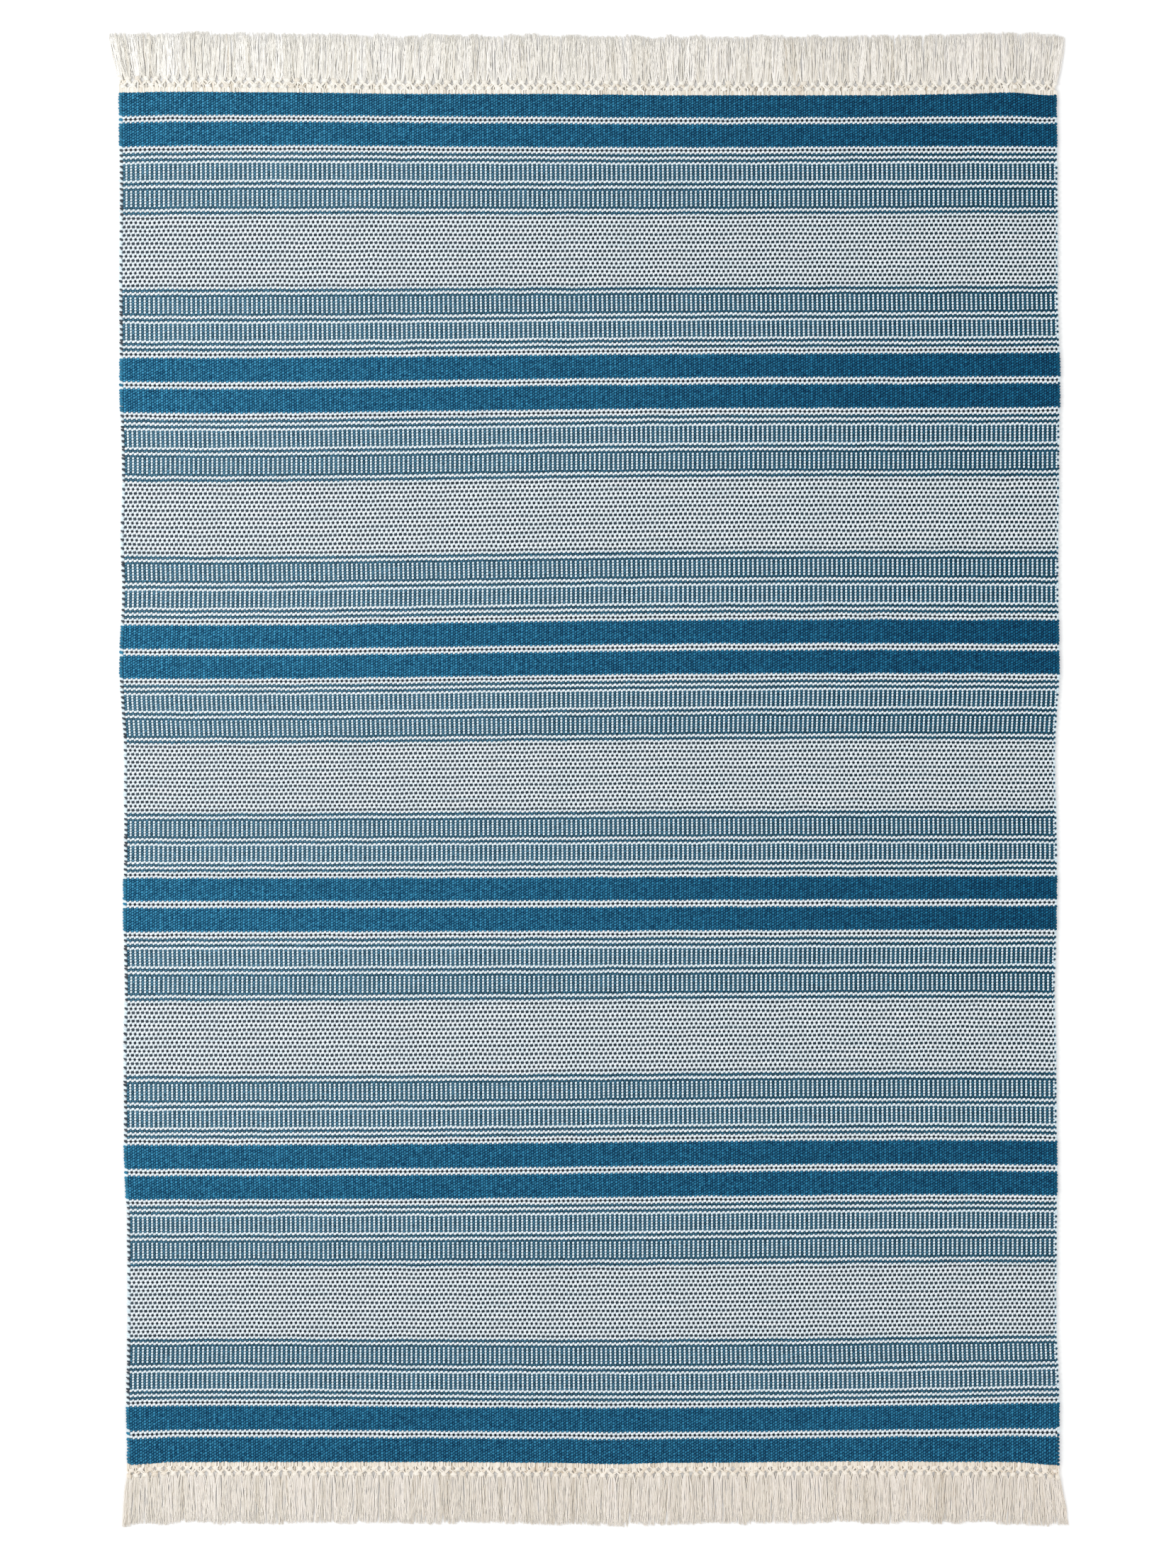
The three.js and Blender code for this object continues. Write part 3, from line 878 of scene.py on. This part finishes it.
def fringe_knots(end):
    """The two rows of knots: a turn of yarn drawn tight over a lump."""
    sizes = {
        "Knots": KNOTS, "First row": end["first_row"] * MM, "Height": 3.0 * MM,
        "Turn radius": 3.0 * MM, "Yarn radius": 1.6 * MM, "Lump radius": 3.8 * MM,
        "Out spread": 1.8 * MM, "Side spread": 0.9 * MM,
    }
    tree, given, sizes, line = new_end_shape(end, "_knots", sizes)

    turn = tubes(tree, circle(tree, 8, given["Turn radius"]), 5, given["Yarn radius"], 1.0)
    turn = turned(tree, turn, (math.radians(82), 0.0, math.radians(24)), (1.1, 0.72, 1.0))
    lump = ball(tree, 8, 5, given["Lump radius"])
    lump = turned(tree, lump, (0.0, 0.0, math.radians(-18)), (1.0, 0.95, 0.76))
    knot = tree.add("GeometryNodeJoinGeometry", None, {"Geometry": lump})
    tree.data.links.new(turn.socket, knot.socket.node.inputs[0])

    amount = given["Knots"] * 2 + 1
    points = tree.add("GeometryNodePoints", None, {"Count": amount})
    number = tree.add("GeometryNodeInputIndex")
    own = own_chances(tree, number, given["Seed"], 0.219)
    in_second = number > given["Knots"] - 0.5
    knot_number = number - in_second * given["Knots"]
    share = (knot_number + 0.5 - in_second * 0.5) / given["Knots"]
    x, y, _ = tree.parts(on_end(tree, line, share))
    inset = edge_inset(knot_number + 1 - in_second, given["Knots"]) * in_second
    out = tree.between(in_second, given["First row"], given["Second row"])
    out = out + own(1) * given["Out spread"]
    out = out + corner_rise(tree, share, given) * tree.between(in_second, FIRST_ROW_RISE, 1.0)
    sideways = inset + own(2) * given["Side spread"]
    place = tree.vector(x + sideways, y + out * given["Way"], given["Height"] + own(3) * 0.4 * MM)
    points = put_at(tree, points, place)
    points = keep_on(tree, points, "tone", own(4) * 0.5 + 0.3)
    points = keep_on(tree, points, "lock", knot_number)
    size = 0.95 + own(5) * 0.25
    mirrored = (own(7) > 0) * math.pi
    facing = tree.vector(0.0, mirrored, own(6) * 0.9)
    made = put_on(tree, points, knot, tree.vector(size, size, size), facing)
    finish_shape(tree, keep_depth(tree, made), given)
    return grow(end["name"] + "_knots", end_line(end), tree, sizes)


def turned(tree, geometry, angles, scale):
    values = {"Geometry": geometry, "Rotation": angles, "Scale": scale}
    return tree.add("GeometryNodeTransform", None, values)


MAP_PIXELS = 1024
WARP_PIXELS = 2.5  # one warp's share of the cloth's map, where one pick has one pixel
CLOTH_MAP_START = (12, 17)
OUTSIDE_PIXELS = 1.5
TURNS_TO_A_ROW = 32
CELL_REACH = 0.42  # from the middle of a turn's cell
LOCK_ROWS = 8
LOCK_MARGIN = 30 * MM


def numbers_on(mesh, name):
    values = np.zeros(len(mesh.vertices))
    mesh.attributes[name].data.foreach_get("value", values)
    return values


def lay_bake_map(piece, across, up):
    """Gives a piece a map from two numbers for each of its points, from 0 to 1."""
    mesh = piece.data
    place = np.stack([across, up], -1).astype(np.float32)
    corners = np.zeros(len(mesh.loops), np.int32)
    mesh.loops.foreach_get("vertex_index", corners)
    layer = mesh.uv_layers.new(name="OFBake")
    layer.data.foreach_set("uv", place[corners].ravel())


def map_cloth(piece):
    """One row of the map to a pick, with the underside laid over the top, which shows the same."""
    mesh = piece.data
    side = numbers_on(mesh, "face")
    warp = numbers_on(mesh, "warp")
    outside = (abs(side) < 0.5) * np.sign(warp - WARPS / 2) * OUTSIDE_PIXELS
    across = warp * WARP_PIXELS + outside + CLOTH_MAP_START[0]
    up = numbers_on(mesh, "pick") + CLOTH_MAP_START[1]
    lay_bake_map(piece, across / MAP_PIXELS, up / MAP_PIXELS)


def map_turns(piece):
    """A cell of the map to each turn of the selvedge, as seen from above."""
    mesh = piece.data
    turn = np.round(numbers_on(mesh, "turn"))
    row = np.floor(turn / TURNS_TO_A_ROW)
    across = turn - row * TURNS_TO_A_ROW + 0.5 + CELL_REACH * numbers_on(mesh, "in_x")
    up = row + 0.5 + CELL_REACH * numbers_on(mesh, "in_y")
    lay_bake_map(piece, across / TURNS_TO_A_ROW, up / TURNS_TO_A_ROW)


def map_fringe(piece):
    """The fringe seen from above, folded into rows so that each lock has room on the map."""
    mesh = piece.data
    per_row = math.ceil((KNOTS + 1) / LOCK_ROWS)
    points = np.zeros(len(mesh.vertices) * 3)
    mesh.vertices.foreach_get("co", points)
    x, y, _ = points.reshape(-1, 3).T
    row = np.floor((numbers_on(mesh, "lock") + 0.01) / per_row)
    width = (x.max() - x.min()) / (KNOTS + 1) * per_row
    across = (x - x.min() - row * width + LOCK_MARGIN) / (width + 2 * LOCK_MARGIN)
    up = (y - y.min()) / (y.max() - y.min())
    lay_bake_map(piece, np.clip(across, 0, 1), (row + 0.02 + 0.96 * up) / LOCK_ROWS)


def blue_in_chart(pick):
    """The chart for one pick, and how many picks out from a blue band's middle it is."""
    half = REPEAT_PICKS // 2
    out = half - abs((pick - BAND_PICKS // 2) % REPEAT_PICKS - half)
    runs = [run for run in BLUE_PICKS if run["first"] <= out <= run["last"]]
    return any((out - run["first"]) % run["every"] == 0 for run in runs), out


def turn_is_blue(pick, side):
    """Whether the weft that turns at a selvedge at this pick is blue. Where blue and white picks
    alternate, the blue yarn turns under the white at the left and over it at the right."""
    blue, out = blue_in_chart(pick)
    if any(run["every"] == 2 and run["first"] - 2 < out < run["last"] + 2 for run in BLUE_PICKS):
        return (pick % 4 < 2) == (side == "left")
    return blue


DRAWN_IN = {"inwards": 0.6, "half_length": 1.75}  # a blue turn among white ones
FULL_TURN = {"inwards": -0.3, "half_length": 2.3}


def selvedge_turns():
    """A loop of weft at every second pick, down both sides."""
    sizes = {"Half height": 2.7 * MM, "Seed": 5000.0, "Yarn": loop_yarn}
    points = []
    marks = {"half_width": [], "half_length": [], "slant": [], "blue": [], "solid": []}
    for edge in SELVEDGES:
        middle = np.array([-edge["way"] * LEFT_REACH], float)
        for pick in range(edge["first_pick"], PICKS, 2):
            along = pick_places(np.array([pick + 0.5]), middle)[0]
            is_blue = turn_is_blue(pick, edge["side"])
            in_solid = blue_in_chart(pick)[1] <= SOLID_BLUE["last"] + 1
            kind = DRAWN_IN if is_blue and not in_solid else FULL_TURN
            inwards = edge["half_width"] + kind["inwards"]
            x = eased(SIDE_EDGES, "along", edge["side"], along)[0] + edge["way"] * inwards
            y = CLOTH_LENGTH / 2 - along[0]
            points.append((MIDDLE[0] + x * MM, MIDDLE[1] + y * MM, sizes["Half height"]))
            marks["half_width"].append(edge["half_width"] * MM)
            marks["half_length"].append(kind["half_length"] * MM)
            marks["slant"].append(edge["slant"])
            marks["blue"].append(is_blue)
            marks["solid"].append(1.0 if in_solid else edge["blueness"])
    marks["turn"] = list(range(len(points)))
    mesh = bpy.data.meshes.new("selvedge_places")
    mesh.from_pydata(points, [], [])
    for name, values in marks.items():
        keep_number(mesh, name, values)

    tree, given = new_shape("selvedge", sizes)
    number = tree.add("GeometryNodeInputIndex")
    own = own_chances(tree, number, given["Seed"], 0.219)
    loop = ball(tree, 10, 6, 1.0)
    x, y, _ = tree.parts(tree.add("GeometryNodeInputPosition"))
    loop = keep_on(tree, loop, "in_x", x)
    loop = keep_on(tree, loop, "in_y", y)
    places = tree.add("GeometryNodeMeshToPoints", None, {"Mesh": given["Geometry"]})
    nudge = tree.vector(own(1) * 0.9 * MM, own(2) * 0.7 * MM, own(3) * 0.3 * MM)
    places = tree.add("GeometryNodeSetPosition", None, {"Geometry": places, "Offset": nudge})
    places = keep_on(tree, places, "tone", own(4) + 0.5)
    facing = tree.vector(0.0, 0.0, mark(tree, "slant") + own(5) * 0.2)
    half_width = mark(tree, "half_width") * (1 + own(6) * 0.14)
    half_length = mark(tree, "half_length") * (1 + own(7) * 0.2)
    scale = tree.vector(half_width, half_length, given["Half height"])
    made = put_on(tree, places, loop, scale, facing)
    finish_shape(tree, made, given)
    return grow("selvedge_turns", show("selvedge_places", mesh), tree, sizes)


# Putting the rug together

cloth = raise_ribs(make_sheet())
map_cloth(cloth)
selvedges = selvedge_turns()
map_turns(selvedges)
for piece in (cloth, selvedges):
    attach(piece, "root")
    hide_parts("woven_cloth")

for end in ENDS:
    for piece in (fringe_heading(end), fringe_knots(end), fringe_locks(end)):
        map_fringe(piece)
        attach(piece, "root")
        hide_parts(end["name"] + "_fringe")


# The floor, the light and the camera

FLOOR_HALF = 8.0
FLOOR_DROP = 0.3 * MM
FLOOR_TONES = ((0.93, 0.93, 0.93, 1.0), (0.95, 0.95, 0.95, 1.0))
FLOOR_FINISH = {"Roughness": 0.9, "Specular IOR Level": 0.1}
WORLD_STRENGTH = 0.92
LIGHTS = (
    {"name": "key", "place": (-2.4, 0.5, 2.6), "size": 1.4, "power": 44},
    {"name": "fill", "place": (2.6, -1.6, 3.4), "size": 2.5, "power": 13},
)


def make_floor():
    mesh = bpy.data.meshes.new("floor")
    corners = [(-1, -1), (1, -1), (1, 1), (-1, 1)]
    points = [(x * FLOOR_HALF, y * FLOOR_HALF, -FLOOR_DROP) for x, y in corners]
    mesh.from_pydata(points, [], [(0, 1, 2, 3)])
    floor = show("floor", mesh)
    paint = lambda tree: (tree.blend(tree.noise(tree.place(), 1.5), *FLOOR_TONES), None)
    mesh.materials.append(new_material("pale_floor", paint, FLOOR_FINISH))
    return floor


def make_light(name, place, size, power):
    """A soft light that faces the middle of the rug."""
    light = bpy.data.lights.new(name, "AREA")
    light.size = size
    light.energy = power
    lamp = bpy.data.objects.new(name, light)
    lamp.location = place
    lamp.rotation_euler = (-Vector(place)).to_track_quat("-Z", "Y").to_euler()
    bpy.context.scene.collection.objects.link(lamp)


FRAME_PIXELS = (1659, 2212)
MM_PER_PIXEL = CLOTH_LENGTH / 1933  # the cloth is 1933 pixels long in the frame
CLOTH_MIDDLE_PIXEL = (833.0, 1096.5)
LENS = 100
SENSOR = 36


def make_camera():
    data = bpy.data.cameras.new("camera")
    data.lens = LENS
    data.sensor_width = SENSOR
    camera = bpy.data.objects.new("camera", data)
    frame_height = FRAME_PIXELS[1] * MM_PER_PIXEL * MM
    x = MIDDLE[0] + (FRAME_PIXELS[0] / 2 - CLOTH_MIDDLE_PIXEL[0]) * MM_PER_PIXEL * MM
    y = MIDDLE[1] - (FRAME_PIXELS[1] / 2 - CLOTH_MIDDLE_PIXEL[1]) * MM_PER_PIXEL * MM
    camera.location = (x, y, frame_height * LENS / SENSOR + CLOTH_THICKNESS * MM)
    bpy.context.scene.collection.objects.link(camera)
    bpy.context.scene.camera = camera


def make_world():
    world = bpy.data.worlds.new("studio")
    bpy.context.scene.world = world
    world.use_nodes = True
    background = world.node_tree.nodes["Background"]
    background.inputs["Color"].default_value = (1.0, 1.0, 1.0, 1.0)
    background.inputs["Strength"].default_value = WORLD_STRENGTH


floor = make_floor()
make_world()
for light in LIGHTS:
    make_light(**light)
make_camera()
bpy.context.scene.view_settings.view_transform = "Standard"
